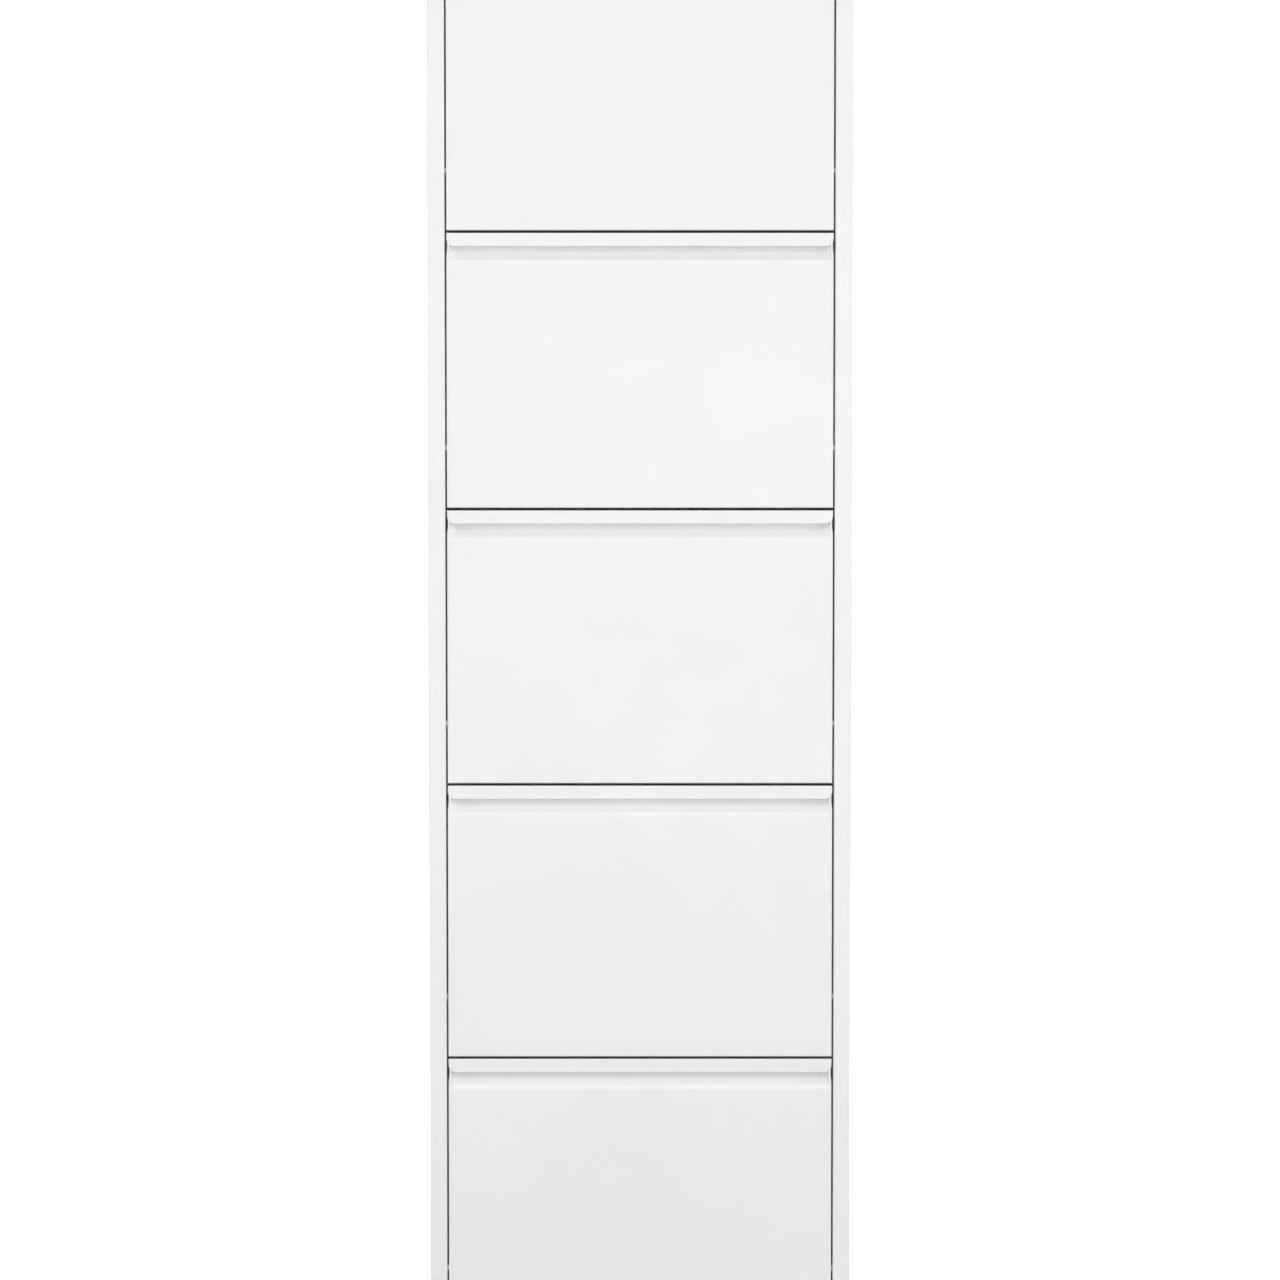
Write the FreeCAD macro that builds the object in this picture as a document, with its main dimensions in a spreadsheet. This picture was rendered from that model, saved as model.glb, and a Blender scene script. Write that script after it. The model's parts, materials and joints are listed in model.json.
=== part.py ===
"""Five-flap steel shoe cabinet, as a parametric FreeCAD document.

Frame: X runs across the cabinet, the front faces -Y and Z is up. The origin is on the floor, at the middle of
the footprint. All sizes are millimetres and come from the sheet "dims".

A tip-out flap is a folded front with a full-width finger grip, a bin of folded sheet that holds the shoes,
and two wings that join them. Each flap turns on two riveted pins in nylon bushes, set in the returns of the
stiles. A sleeved stud on each side wall runs in the wing's curved slot and stops the flap, open and closed.
"""

import FreeCAD, Part
import os

import Sketcher

FLAP_COUNT = 5
SCREWS_PER_SIDE = 6
CROSS_SCREW_COLUMNS = (-1, 0, 1)
SIDES = {"left": -1, "right": 1}
CLOSE = 0.01  # how near a place an edge must be to count as lying there

DIMENSIONS = {
    # carcass
    "cabinet_width": 500,
    "cabinet_depth": 140,
    "rail_height": 20,
    "foot_height": 5,
    "stile_width": 20,
    "return_depth": 25,
    "rear_flange": 15,
    "rail_return": 15,
    "rear_apron": 18,
    "tab_front": 30,
    "tab_length": 90,
    "carcass_sheet": 1,
    "bend_outside": 1.6,
    "fit_gap": 0.1,
    "edge_round": 0.8,
    # flaps
    "flap_height": 323.4,
    "row_gap": 3,
    "side_gap": 2,
    "flap_depth": 20,
    "flap_sheet": 0.8,
    "flap_swing": 45,
    # finger grip
    "lip_height": 16,
    "lip_thickness": 1.6,
    "hem_round": 0.75,
    "hem_overlap": 6,
    "lip_corner": 4,
    "grip_depth": 9,
    "grip_wall_foot": 24,
    "ledge_drop": 9,
    "roll_radius": 9,
    "cove_radius": 6,
    "grip_margin": 3.5,
    "grip_foot": 45,
    "shoulder_drop": 14,
    "notch_depth": 1.5,
    "notch_top": 9,
    "notch_foot": 26.5,
    "notch_shoulder": 1.5,
    "notch_taper": 8,
    "notch_reach": 12,
    # bin and wings
    "bin_floor_depth": 102,
    "bin_top_depth": 126,
    "bin_height": 220,
    "bin_bend": 12,
    "bin_rim": 6,
    "wing_sheet": 1,
    "wing_flange": 14,
    "wing_rear_height": 205,
    "wing_front_height": 268,
    "wing_shoulder": 15,
    "wing_corner": 20,
    # pivots and guides
    "pivot_depth": 10,
    "pivot_height": 70.5,
    "pin_radius": 2,
    "pin_reach": 12,
    "pin_shoulder": 3.2,
    "rivet_radius": 3.6,
    "rivet_height": 1.2,
    "pin_chamfer": 0.4,
    "run_clearance": 0.05,
    "bush_radius": 2.95,
    "bush_flange": 3.8,
    "bush_snap": 3.25,
    "bush_length": 3,
    "guide_radius": 62,
    "guide_angle": 58,
    "stud_radius": 2.5,
    "stud_foot": 5,
    "stud_head": 3.6,
    "stud_reach": 4,
    "sleeve_radius": 4.5,
    "sleeve_length": 7,
    "slot_clearance": 0.3,
    # back, wall fixing, screws and feet
    "back_inset": 2,
    "rib_length": 400,
    "rib_width": 18,
    "rib_rise": 0.9,
    "rib_round": 0.6,
    "hanger_below_top": 80,
    "hanger_height": 60,
    "hanger_length": 420,
    "hanger_flange": 8,
    "wall_hole_spacing": 360,
    "wall_hole_radius": 3.5,
    "screw_radius": 1.95,
    "screw_length": 8,
    "screw_head_radius": 3.8,
    "screw_head_height": 2,
    "screw_cross_width": 0.9,
    "screw_cross_length": 4,
    "screw_cross_depth": 1.1,
    "screw_end_inset": 54,
    "cross_screw_spacing": 150,
    "cross_screw_inset": 9,
    "foot_radius": 12,
    "foot_stem_radius": 4,
    "foot_stem_height": 7,
    "foot_inset_x": 35,
    "foot_inset_y": 20,
    # lengths of the cutting tools, which leave no mark of their own
    "drill_length": 12,
    "cut_margin": 1,
}

DOC = FreeCAD.newDocument("shoe_cabinet")
SHEET = DOC.addObject("Spreadsheet::Sheet", "dims")
for sheet_row, (alias, size) in enumerate(DIMENSIONS.items(), start=1):
    SHEET.set(f"A{sheet_row}", alias.replace("_", " "))
    SHEET.set(f"B{sheet_row}", str(size))
    SHEET.setAlias(f"B{sheet_row}", alias)
DOC.recompute()

# Places that many pieces share, as expressions.
HALF_WIDTH = "dims.cabinet_width / 2"
FRONT = "(-dims.cabinet_depth / 2)"
BACK = "(dims.cabinet_depth / 2 - dims.back_inset)"
CARCASS_SHEET = "dims.carcass_sheet"
ROWS = f"({FLAP_COUNT} * dims.flap_height + {FLAP_COUNT + 1} * dims.row_gap)"
TOP = f"(dims.foot_height + 2 * dims.rail_height + {ROWS})"
STILE_INSIDE = "(dims.cabinet_width / 2 - dims.stile_width)"
FLAP_HALF = f"({STILE_INSIDE} - dims.side_gap)"
FLAP_TOP = "dims.flap_height"
FLAP_SHEET = "dims.flap_sheet"
BEND = "dims.bend_outside"
WING_OUTSIDE = f"({FLAP_HALF} - {FLAP_SHEET})"
WING_INSIDE = f"({WING_OUTSIDE} - dims.wing_sheet)"
PIVOT_Y = f"({FRONT} + dims.pivot_depth)"
PIVOT_Z = "dims.pivot_height"
GUIDE_Y = f"({PIVOT_Y} + dims.guide_radius * cos(dims.guide_angle * 1 deg))"
GUIDE_Z = f"({PIVOT_Z} + dims.guide_radius * sin(dims.guide_angle * 1 deg))"
STUD_TIP = f"({WING_INSIDE} - dims.stud_reach)"
HANGER_FOOT = f"({TOP} - dims.hanger_below_top)"


def flap_base(row):
    """The height of a flap's bottom edge. Row 0 is the lowest."""
    return f"(dims.foot_height + dims.rail_height + dims.row_gap + {row} * (dims.flap_height + dims.row_gap))"


def from_front(depth):
    return f"({FRONT} + {depth})"


def below_top(drop):
    """A height in a flap's own frame, measured down from its top edge."""
    return f"({FLAP_TOP} - ({drop}))"


# --- helpers -----------------------------------------------------------------------------------------------


def value(expression):
    """What an expression comes to, as a plain number."""
    return float(SHEET.evalExpression(expression.replace("dims.", "")))


def bind(thing, **expressions):
    """Sets properties from expressions. A double underscore stands for a dot."""
    for name, expression in expressions.items():
        thing.setExpression(name.replace("__", "."), expression)
    return thing


def put(thing, x="0", y="0", z="0"):
    """Binds a thing's place to three expressions."""
    return bind(thing, Placement__Base__x=x, Placement__Base__y=y, Placement__Base__z=z)


def outline(body, name, plane, corners, height="0"):
    """A closed polygon over one of the body's planes. Every corner's coordinates are bound to the sheet."""
    sketch = body.newObject("Sketcher::SketchObject", name)
    support = next(feature for feature in body.Origin.OriginFeatures if feature.Role == plane)
    sketch.AttachmentSupport = [(support, "")]
    sketch.MapMode = "FlatFace"
    bind(sketch, AttachmentOffset__Base__z=height)
    places = [(value(across), value(up)) for across, up in corners]
    for start, end in zip(places, places[1:] + places[:1]):
        sketch.addGeometry(Part.LineSegment(FreeCAD.Vector(*start, 0), FreeCAD.Vector(*end, 0)))
    for line in range(len(corners)):
        sketch.addConstraint(Sketcher.Constraint("Coincident", line, 2, (line + 1) % len(corners), 1))
    for line, (corner, place) in enumerate(zip(corners, places)):
        for kind, expression, now in zip(("DistanceX", "DistanceY"), corner, place):
            made = sketch.addConstraint(Sketcher.Constraint(kind, -1, 1, line, 1, now))
            sketch.setExpression(f"Constraints[{made}]", expression)
    DOC.recompute()
    return sketch


def rectangle(x0, x1, y0, y1):
    return [(x0, y0), (x1, y0), (x1, y1), (x0, y1)]


def add_pad(body, name, plane, corners, start, length):
    """A pad of a polygon, from start along the plane's normal."""
    pad = body.newObject("PartDesign::Pad", name)
    pad.Profile = outline(body, name + "_outline", plane, corners, start)
    bind(pad, Length=length)
    DOC.recompute()
    return pad


def prism(name, plane, corners, start, length, label=None):
    """A new body with one pad."""
    body = DOC.addObject("PartDesign::Body", name)
    body.Label = label or name
    add_pad(body, name + "_pad", plane, corners, start, length)
    return body


def edges_at(shape, place):
    """Names of the straight edges that lie wholly at the place, such as {"x": ..., "z": ...}."""
    wanted = [(axis, value(expression)) for axis, expression in place.items()]
    found = []
    for number, edge in enumerate(shape.Edges, start=1):
        ends = [vertex.Point for vertex in edge.Vertexes]
        there = all(abs(getattr(end, axis) - at) < CLOSE for end in ends for axis, at in wanted)
        if len(ends) == 2 and there:
            found.append(f"Edge{number}")
    return found


def round_edges(body, name, radius, places):
    """A fillet on the edges at each of the places."""
    base = body.Tip
    fillet = body.newObject("PartDesign::Fillet", name)
    fillet.Base = (base, [edge for place in places for edge in edges_at(base.Shape, place)])
    bind(fillet, Radius=radius)
    DOC.recompute()
    return fillet


def turned(name, profile):
    """A body turned about the X axis from a half profile of (x, radius) corners."""
    body = DOC.addObject("PartDesign::Body", name)
    sketch = outline(body, name + "_profile", "XY_Plane", profile)
    turn = body.newObject("PartDesign::Revolution", name + "_turn")
    turn.Profile = sketch
    turn.ReferenceAxis = (sketch, ["H_Axis"])
    turn.Angle = 360
    DOC.recompute()
    return body


def combine(kind, name, base, tool, label=None):
    """A Part boolean of two things, Cut or Common."""
    made = DOC.addObject("Part::" + kind, name)
    made.Base = base
    made.Tool = tool
    made.Label = label or name
    DOC.recompute()
    return made


def fuse(name, shapes):
    made = DOC.addObject("Part::MultiFuse", name)
    made.Shapes = shapes
    return made


def group(name, members, label=None):
    """Several shapes kept apart in one object."""
    made = DOC.addObject("Part::Compound", name)
    made.Links = list(members)
    made.Label = label or name
    return made


def copy_of(master, name, x="0", y="0", z="0", turn=None, label=None):
    """The master's shape again, at a place of its own."""
    made = group(name, [master], label)
    if turn:
        made.Placement = FreeCAD.Placement(FreeCAD.Vector(), turn)
    return put(made, x, y, z)


def at_every_flap(master, side, name, x, y, z):
    """The master at every flap on one side, its own +X pointing away from the cabinet's middle."""
    sign = SIDES[side]
    turn = FreeCAD.Rotation(FreeCAD.Vector(0, 0, 1), 0 if sign > 0 else 180)
    members = [
        copy_of(master, f"{name}_{side}_{row}", f"{sign} * {x}", y, f"{flap_base(row)} + {z}", turn)
        for row in range(FLAP_COUNT)
    ]
    return group(f"all_{name}_{side}", members, f"{name}_{side}")


def drill(name, axis, radius, x, y, z):
    """A cylinder along X, Y or Z, centred on a place in the sheet that it goes through."""
    made = DOC.addObject("Part::Cylinder", name)
    bind(made, Radius=radius, Height="dims.drill_length")
    along = FreeCAD.Vector(axis == "X", axis == "Y", axis == "Z")
    made.Placement = FreeCAD.Placement(FreeCAD.Vector(), FreeCAD.Rotation(FreeCAD.Vector(0, 0, 1), along))
    start = {"X": x, "Y": y, "Z": z}
    start[axis] = f"{start[axis]} - dims.drill_length / 2"
    return put(made, start["X"], start["Y"], start["Z"])


# --- carcass -----------------------------------------------------------------------------------------------


def screw_places():
    """Where the screws go in the back, as (x, z)."""
    places = []
    run = f"({TOP} - dims.foot_height - 2 * dims.screw_end_inset)"
    for sign in SIDES.values():
        for number in range(SCREWS_PER_SIDE):
            height = f"dims.foot_height + dims.screw_end_inset + {number} * {run} / {SCREWS_PER_SIDE - 1}"
            places.append((f"{sign} * (dims.cabinet_width / 2 - dims.rear_flange / 2)", height))
    for column in CROSS_SCREW_COLUMNS:
        across = f"{column} * dims.cross_screw_spacing"
        places.append((across, f"{TOP} - dims.cross_screw_inset"))
        places.append((across, "dims.foot_height + dims.cross_screw_inset"))
    return places


def screw_drills(name):
    """Clearance drills for every screw in the back."""
    radius = "dims.screw_radius + dims.run_clearance"
    drills = [drill(f"{name}_{n}", "Y", radius, x, BACK, z) for n, (x, z) in enumerate(screw_places())]
    return group(name, drills)


def side_panel(side):
    """Side wall folded at the front into a stile with a return, and at the rear into a flange."""
    sign = SIDES[side]
    sheet = CARCASS_SHEET
    inside = f"(dims.cabinet_width / 2 - {sheet})"
    flange_end = "(dims.cabinet_width / 2 - dims.rear_flange)"
    return_end = from_front("dims.return_depth")
    section = [
        (flange_end, BACK),
        (HALF_WIDTH, BACK),
        (HALF_WIDTH, FRONT),
        (STILE_INSIDE, FRONT),
        (STILE_INSIDE, return_end),
        (f"{STILE_INSIDE} + {sheet}", return_end),
        (f"{STILE_INSIDE} + {sheet}", from_front(sheet)),
        (inside, from_front(sheet)),
        (inside, f"{BACK} - {sheet}"),
        (flange_end, f"{BACK} - {sheet}"),
    ]
    section = [(f"{sign} * ({x})", y) for x, y in section]
    floor = f"(dims.foot_height + {sheet})"
    name = f"side_{side}"
    body = prism(name, "XY_Plane", section, floor, f"{TOP} - {sheet} - {floor}")
    outer = [{"x": x, "y": y} for x, y in section[1:4]]
    inner = [{"x": x, "y": y} for x, y in section[6:9]]
    round_edges(body, name + "_bends", BEND, outer)
    round_edges(body, name + "_folds", f"{BEND} - {sheet}", inner)
    holes = [
        drill(
            f"{name}_bush_hole_{row}",
            "X",
            "dims.bush_radius + dims.run_clearance",
            f"{sign} * {STILE_INSIDE}",
            PIVOT_Y,
            f"{flap_base(row)} + {PIVOT_Z}",
        )
        for row in range(FLAP_COUNT)
    ]
    drills = group(name + "_drills", holes + [screw_drills(name + "_screw_drills")])
    return combine("Cut", name + "_drilled", body, drills, f"side_panel_{side}")


def end_panel(name, face, into):
    """Top or bottom: a plate with a front rail, a rear apron and two side tabs, all folded into the cabinet.

    face is the height of the plate's outer face. into is 1 where the folds go up from it and -1 where down.
    """
    sheet = CARCASS_SHEET
    rail = "dims.rail_height"

    def level(distance):
        return f"({face} + {into} * ({distance}))"

    def lower_of(near, far):
        return level(near) if into > 0 else level(far)

    section = [
        (BACK, level("dims.rear_apron")),
        (BACK, level("0")),
        (FRONT, level("0")),
        (FRONT, level(rail)),
        (from_front("dims.rail_return"), level(rail)),
        (from_front("dims.rail_return"), level(f"{rail} - {sheet}")),
        (from_front(sheet), level(f"{rail} - {sheet}")),
        (from_front(sheet), level(sheet)),
        (f"{BACK} - {sheet}", level(sheet)),
        (f"{BACK} - {sheet}", level("dims.rear_apron")),
    ]
    half = f"({STILE_INSIDE} - dims.fit_gap)"
    body = prism(name, "YZ_Plane", section, f"-{half}", f"2 * {half}")
    round_edges(body, name + "_bend", BEND, [{"y": FRONT, "z": level(rail)}])
    round_edges(body, name + "_folds", f"{BEND} - {sheet}", [{"y": y, "z": z} for y, z in section[6:9]])
    plate = rectangle(f"-{HALF_WIDTH}", HALF_WIDTH, FRONT, BACK)
    add_pad(body, name + "_plate", "XY_Plane", plate, lower_of("0", sheet), sheet)
    corners = [{"x": f"{sign} * {HALF_WIDTH}", "y": y} for sign in (-1, 1) for y in (FRONT, BACK)]
    round_edges(body, name + "_corners", BEND, corners)
    for side, sign in SIDES.items():
        near = f"{sign} * ({HALF_WIDTH} - {sheet} - dims.fit_gap)"
        far = f"{sign} * ({HALF_WIDTH} - 2 * {sheet} - dims.fit_gap)"
        tab = rectangle(
            far, near, from_front("dims.tab_front"), from_front("dims.tab_front + dims.tab_length")
        )
        add_pad(body, f"{name}_tab_{side}", "XY_Plane", tab, lower_of("0", rail), rail)
    round_edges(body, name + "_rim", "dims.edge_round", [{"y": FRONT, "z": level("0")}])
    return body


def top_panel():
    body = end_panel("top", TOP, -1)
    return combine("Cut", "top_drilled", body, screw_drills("top_screw_drills"), "top_panel")


def foot_places():
    across = "(dims.cabinet_width / 2 - dims.foot_inset_x)"
    depths = (from_front("dims.foot_inset_y"), f"({BACK} - dims.foot_inset_y)")
    return [(f"{sign} * {across}", depth) for sign in SIDES.values() for depth in depths]


def bottom_panel():
    body = end_panel("bottom", "dims.foot_height", 1)
    radius = "dims.foot_stem_radius + dims.fit_gap"
    holes = [
        drill(f"foot_hole_{n}", "Z", radius, x, y, "dims.foot_height")
        for n, (x, y) in enumerate(foot_places())
    ]
    drills = group("bottom_drills", holes + [screw_drills("bottom_screw_drills")])
    return combine("Cut", "bottom_drilled", body, drills, "bottom_panel")


def wall_drills(name):
    """Drills for the two wall screws."""
    across = "dims.wall_hole_spacing / 2"
    height = f"({HANGER_FOOT} + dims.hanger_height / 2)"
    return [
        drill(f"{name}_{side}", "Y", "dims.wall_hole_radius", f"{sign} * {across}", BACK, height)
        for side, sign in SIDES.items()
    ]


def back_panel():
    """Rear sheet inside the rear flanges, stiffened by a rib pressed out behind each flap."""
    sheet = CARCASS_SHEET
    face = f"({BACK} - {sheet})"
    raised = f"({face} + dims.rib_rise)"
    half = f"({HALF_WIDTH} - 2 * {sheet})"
    low = f"(dims.foot_height + {BEND} + dims.fit_gap)"
    high = f"({TOP} - {BEND} - dims.fit_gap)"
    # The XZ plane's normal is -Y, so each pad starts at its rear face and goes forward.
    body = prism("back", "XZ_Plane", rectangle(f"-{half}", half, low, high), f"-{face}", sheet)
    ribs = []
    hollows = []
    for row in range(FLAP_COUNT):
        middle = f"({flap_base(row)} + {FLAP_TOP} / 2)"
        reach = "dims.rib_length / 2"
        foot = f"{middle} - dims.rib_width / 2"
        head = f"{middle} + dims.rib_width / 2"
        shell = rectangle(f"-{reach}", reach, foot, head)
        rib = prism(f"rib_{row}", "XZ_Plane", shell, f"-{raised}", "dims.rib_rise")
        long_edges = [{"y": raised, "z": height} for height in (foot, head)]
        round_edges(rib, f"rib_{row}_round", "dims.rib_round", long_edges)
        ribs.append(rib)
        inner_reach = f"({reach} - {sheet})"
        inner = rectangle(f"-{inner_reach}", inner_reach, f"{foot} + {sheet}", f"{head} - {sheet}")
        hollows.append(prism(f"hollow_{row}", "XZ_Plane", inner, f"-({raised} - {sheet})", sheet))
    holes = wall_drills("back_wall_hole") + [screw_drills("back_screw_drills")]
    drills = group("back_drills", hollows + holes)
    return combine("Cut", "back_drilled", fuse("back_ribbed", [body] + ribs), drills, "back_panel")


def hanging_rail():
    """Folded rail inside the back panel that spreads the load of the two wall screws."""
    sheet = CARCASS_SHEET
    rear = f"({BACK} - 2 * {sheet})"
    low = HANGER_FOOT
    high = f"({low} + dims.hanger_height)"
    section = [
        (f"{rear} - dims.hanger_flange", low),
        (rear, low),
        (rear, high),
        (f"{rear} - dims.hanger_flange", high),
        (f"{rear} - dims.hanger_flange", f"{high} - {sheet}"),
        (f"{rear} - {sheet}", f"{high} - {sheet}"),
        (f"{rear} - {sheet}", f"{low} + {sheet}"),
        (f"{rear} - dims.hanger_flange", f"{low} + {sheet}"),
    ]
    body = prism("hanger", "YZ_Plane", section, "-dims.hanger_length / 2", "dims.hanger_length")
    round_edges(body, "hanger_bends", BEND, [{"y": y, "z": z} for y, z in section[1:3]])
    round_edges(body, "hanger_folds", f"{BEND} - {sheet}", [{"y": y, "z": z} for y, z in section[5:7]])
    drills = group("hanger_drills", wall_drills("hanger_hole"))
    return combine("Cut", "hanger_drilled", body, drills, "hanging_rail")


def feet():
    """Four plastic glides, each pushed into the bottom panel by its stem."""
    soft = "dims.edge_round"
    stem_end = "dims.foot_height + dims.foot_stem_height"
    profile = [
        ("0", "0"),
        ("0", f"dims.foot_radius - {soft}"),
        (soft, "dims.foot_radius"),
        ("dims.foot_height", "dims.foot_radius"),
        ("dims.foot_height", "dims.foot_stem_radius"),
        (f"{stem_end} - {soft}", "dims.foot_stem_radius"),
        (stem_end, f"dims.foot_stem_radius - {soft}"),
        (stem_end, "0"),
    ]
    master = turned("foot", profile)
    upright = FreeCAD.Rotation(FreeCAD.Vector(0, 1, 0), -90)
    members = [copy_of(master, f"foot_{n}", x, y, turn=upright) for n, (x, y) in enumerate(foot_places())]
    return group("all_feet", members, "feet")


def back_screws():
    """Pan-head screws with a cross recess, which join the sides, top and bottom to the back panel."""
    head = "dims.screw_head_height"
    soft = "dims.edge_round"
    tip = f"{head} + dims.screw_length"
    profile = [
        ("0", "0"),
        ("0", f"dims.screw_head_radius - {soft}"),
        (soft, "dims.screw_head_radius"),
        (head, "dims.screw_head_radius"),
        (head, "dims.screw_radius"),
        (f"{tip} - dims.screw_radius", "dims.screw_radius"),
        (tip, "0"),
    ]
    arm = "dims.screw_cross_length / 2"
    slit = "dims.screw_cross_width / 2"
    cross = [
        prism(f"screw_slit_{n}", "YZ_Plane", rectangle(f"-{a}", a, f"-{b}", b), "0", "dims.screw_cross_depth")
        for n, (a, b) in enumerate(((arm, slit), (slit, arm)))
    ]
    master = combine("Cut", "screw", turned("screw_blank", profile), group("screw_cross", cross))
    # The profile starts at the head's outer face, which looks to the rear.
    inward = FreeCAD.Rotation(FreeCAD.Vector(0, 0, 1), -90)
    members = [
        copy_of(master, f"screw_{n}", x, "dims.cabinet_depth / 2", z, inward)
        for n, (x, z) in enumerate(screw_places())
    ]
    return group("all_screws", members, "back_screws")


def pivot_bushes(side):
    """Nylon bushes snapped into the returns of the stiles, one for each flap."""
    bore = "dims.pin_radius + dims.run_clearance"
    flange = CARCASS_SHEET
    neck_end = f"{flange} + {CARCASS_SHEET} + dims.run_clearance"
    end = f"{flange} + dims.bush_length"
    profile = [
        ("0", bore),
        ("0", "dims.bush_flange"),
        (flange, "dims.bush_flange"),
        (flange, "dims.bush_radius"),
        (neck_end, "dims.bush_radius"),
        (neck_end, "dims.bush_snap"),
        (end, "dims.bush_radius - dims.pin_chamfer"),
        (end, bore),
    ]
    start = f"({STILE_INSIDE} - {flange})"
    return at_every_flap(turned(f"bush_{side}", profile), side, "pivot_bushes", start, PIVOT_Y, PIVOT_Z)


def guide_studs(side):
    """Studs welded inside the side wall, each with a head that keeps its sleeve on."""
    reach = f"({HALF_WIDTH} - {CARCASS_SHEET} - {STUD_TIP})"
    foot = f"{reach} - {CARCASS_SHEET}"
    head = "dims.rivet_height"
    profile = [
        ("0", "0"),
        ("0", "dims.stud_head - dims.pin_chamfer"),
        ("dims.pin_chamfer", "dims.stud_head"),
        (head, "dims.stud_head"),
        (head, "dims.stud_radius"),
        (foot, "dims.stud_radius"),
        (foot, "dims.stud_foot"),
        (reach, "dims.stud_foot"),
        (reach, "0"),
    ]
    return at_every_flap(turned(f"stud_{side}", profile), side, "guide_studs", STUD_TIP, GUIDE_Y, GUIDE_Z)


def guide_sleeves(side):
    """Nylon sleeves on the studs, which run in the wings' slots."""
    bore = "dims.stud_radius + dims.run_clearance"
    length = "dims.sleeve_length"
    soft = "dims.pin_chamfer"
    profile = [
        ("0", bore),
        ("0", f"dims.sleeve_radius - {soft}"),
        (soft, "dims.sleeve_radius"),
        (f"{length} - {soft}", "dims.sleeve_radius"),
        (length, f"dims.sleeve_radius - {soft}"),
        (length, bore),
    ]
    start = f"({STUD_TIP} + dims.rivet_height + dims.fit_gap)"
    return at_every_flap(turned(f"sleeve_{side}", profile), side, "guide_sleeves", start, GUIDE_Y, GUIDE_Z)


# --- one flap, in its own frame: z is measured from its bottom edge ----------------------------------------


def grip_hollow(name, grown):
    """The finger grip's hollow, or where grown is set, the hollow with the sheet around it.

    Its section is a cavity behind the lip, a back wall, a ledge and a roll onto the front. Its plan rounds
    both ends.
    """
    margin = "dims.cut_margin"
    sheet = FLAP_SHEET if grown else "0"
    slope = "sqrt(dims.grip_depth ^ 2 + dims.ledge_drop ^ 2)"
    shift = f"{sheet} * ({slope} - dims.ledge_drop) / dims.grip_depth"
    outside = from_front(f"-{margin}")
    wall = from_front(f"dims.grip_depth + {sheet}")
    face = from_front(sheet)
    ledge_rear = (wall, below_top(f"dims.grip_wall_foot + {shift}"))
    ledge_front = (face, below_top(f"dims.grip_wall_foot + dims.ledge_drop + {shift}"))
    foot = below_top("dims.grip_foot")
    lip_back = from_front("dims.lip_thickness")
    lip_foot = below_top("dims.lip_height")
    lip_shoulder = below_top("dims.lip_height - dims.hem_overlap")
    ceiling = below_top(FLAP_SHEET)
    if grown:
        upper = [(outside, f"{FLAP_TOP} + {margin}"), (wall, f"{FLAP_TOP} + {margin}")]
    else:
        upper = [
            (outside, lip_shoulder),
            (FRONT, lip_shoulder),
            (FRONT, lip_foot),
            (lip_back, lip_foot),
            (lip_back, ceiling),
            (wall, ceiling),
        ]
    section = [(outside, foot)] + upper + [ledge_rear, ledge_front, (face, foot)]
    half = f"({FLAP_HALF} - dims.grip_margin + {sheet})"
    profile = prism(
        name + "_section", "YZ_Plane", section, f"-({half} + {margin})", f"2 * ({half} + {margin})"
    )
    cove = {"y": ledge_rear[0], "z": ledge_rear[1]}
    roll = {"y": ledge_front[0], "z": ledge_front[1]}
    round_edges(profile, name + "_cove", f"dims.cove_radius + {sheet}", [cove])
    round_edges(profile, name + "_roll", f"dims.roll_radius - {sheet}", [roll])
    if not grown:
        hem = [{"y": FRONT, "z": lip_foot}, {"y": lip_back, "z": lip_foot}]
        round_edges(profile, name + "_hem", "dims.hem_round", hem)
        head = [{"y": y, "z": ceiling} for y in (lip_back, wall)]
        round_edges(profile, name + "_head", f"{BEND} - {FLAP_SHEET}", head)
    plan_foot = below_top(f"dims.grip_foot + {margin}")
    plan = prism(
        name + "_plan",
        "XY_Plane",
        rectangle(f"-{half}", half, outside, wall),
        plan_foot,
        f"{FLAP_TOP} + 2 * {margin} - {plan_foot}",
    )
    ends = [{"x": f"{sign} * {half}", "y": wall} for sign in (-1, 1)]
    round_edges(plan, name + "_ends", f"dims.grip_depth + {sheet}", ends)
    return combine("Common", name, profile, plan)


def lip_corner(side):
    """What rounding takes off the lip's lower corner."""
    sign = SIDES[side]
    radius = "dims.lip_corner"
    end = f"({FLAP_HALF} - dims.grip_margin)"
    near = f"{sign} * ({end} - {radius})"
    high = below_top(f"dims.lip_height - {radius}")
    block = prism(
        f"lip_corner_block_{side}",
        "XZ_Plane",
        rectangle(near, f"{sign} * {end}", below_top("dims.lip_height + dims.cut_margin"), high),
        f"-{from_front('dims.lip_thickness')}",
        "dims.lip_thickness + dims.cut_margin",
    )
    curve = drill(f"lip_corner_curve_{side}", "Y", radius, near, FRONT, high)
    return combine("Cut", f"lip_corner_{side}", block, curve)


def flange_notch(side):
    """Relief in the side flange and the face's edge, beside the grip, with a long taper at its foot."""
    sign = SIDES[side]
    outside = f"{sign} * ({FLAP_HALF} + dims.cut_margin)"
    edge = f"{sign} * {FLAP_HALF}"
    deep = f"{sign} * ({FLAP_HALF} - dims.notch_depth)"
    corners = [
        (outside, below_top("dims.notch_top")),
        (edge, below_top("dims.notch_top")),
        (deep, below_top("dims.notch_top + dims.notch_shoulder")),
        (deep, below_top("dims.notch_foot - dims.notch_taper")),
        (edge, below_top("dims.notch_foot")),
        (outside, below_top("dims.notch_foot")),
    ]
    start = f"-{from_front('dims.notch_reach')}"
    return prism(f"notch_{side}", "XZ_Plane", corners, start, "dims.notch_reach + dims.cut_margin")


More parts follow.
